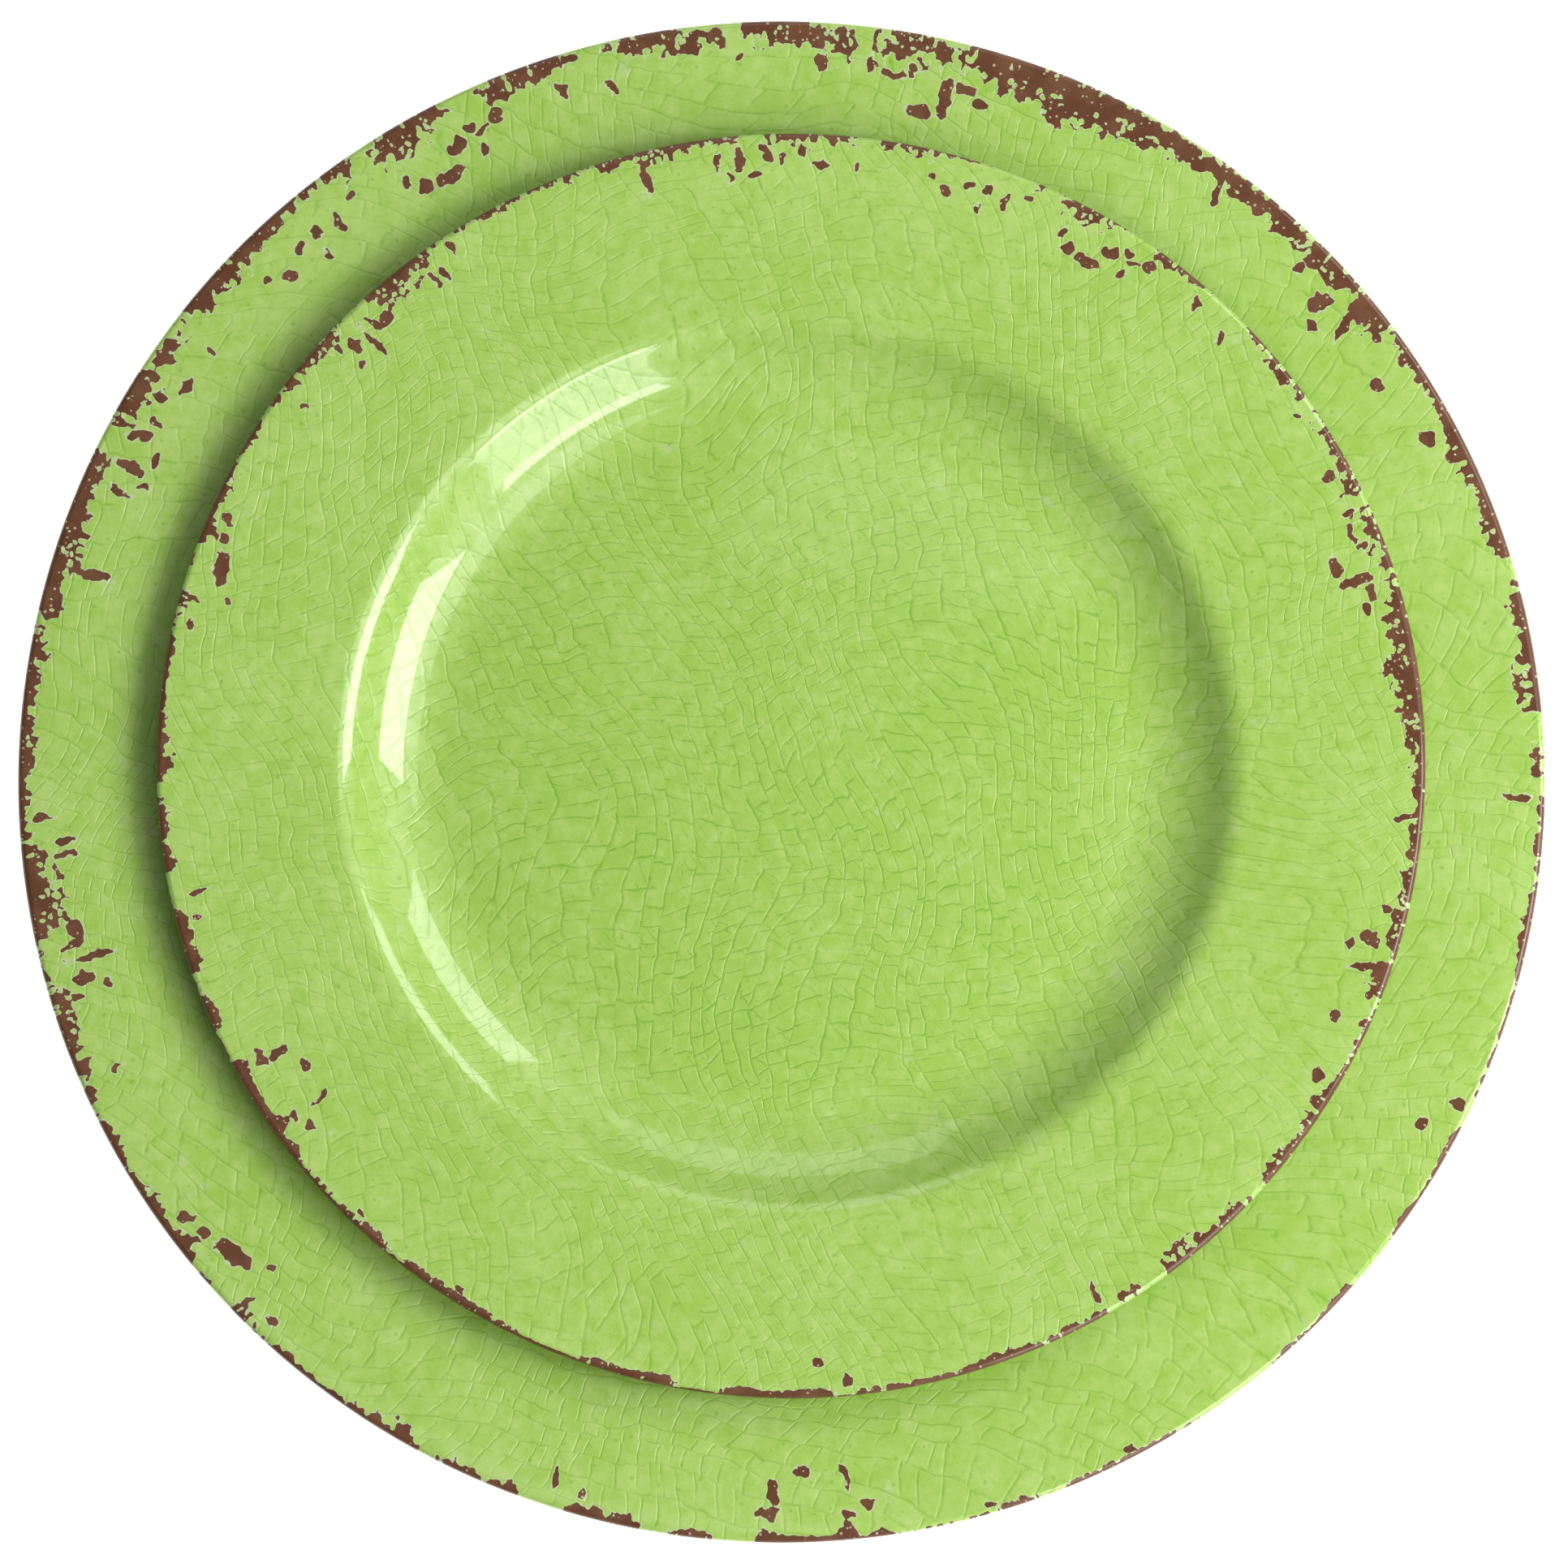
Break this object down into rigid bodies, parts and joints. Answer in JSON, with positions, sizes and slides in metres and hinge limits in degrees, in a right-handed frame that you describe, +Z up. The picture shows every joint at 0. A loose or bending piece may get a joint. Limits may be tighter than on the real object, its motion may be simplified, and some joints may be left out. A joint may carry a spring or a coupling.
{
  "type": "stacked dinner plate and salad plate",
  "caption": "Round rimmed dinner plate with a smaller matching salad plate standing in its well, crackle glazed in green with worn brown edges.",
  "frame": {"origin": "centre of the dinner plate's foot ring, on the table", "axes": "+Z up out of the plates' wells; +X and +Y across the plates, which look the same all round"},
  "size_m": [0.2794, 0.2794, 0.0255],
  "materials": {
    "crackle_glaze": "opaque glazed china: glossy yellow-green crackle glaze, worn through to brown clay at the rims"
  },
  "bodies": {
    "dinner_plate": {"dinner_plate": "crackle_glaze"},
    "salad_plate": {"salad_plate": "crackle_glaze"}
  },
  "joints": [
    {"name": "salad_plate_lift", "type": "slide", "parent": "dinner_plate", "child": "salad_plate", "axis": [0, 0, 1], "range_m": [0, 0.1]}
  ]
}
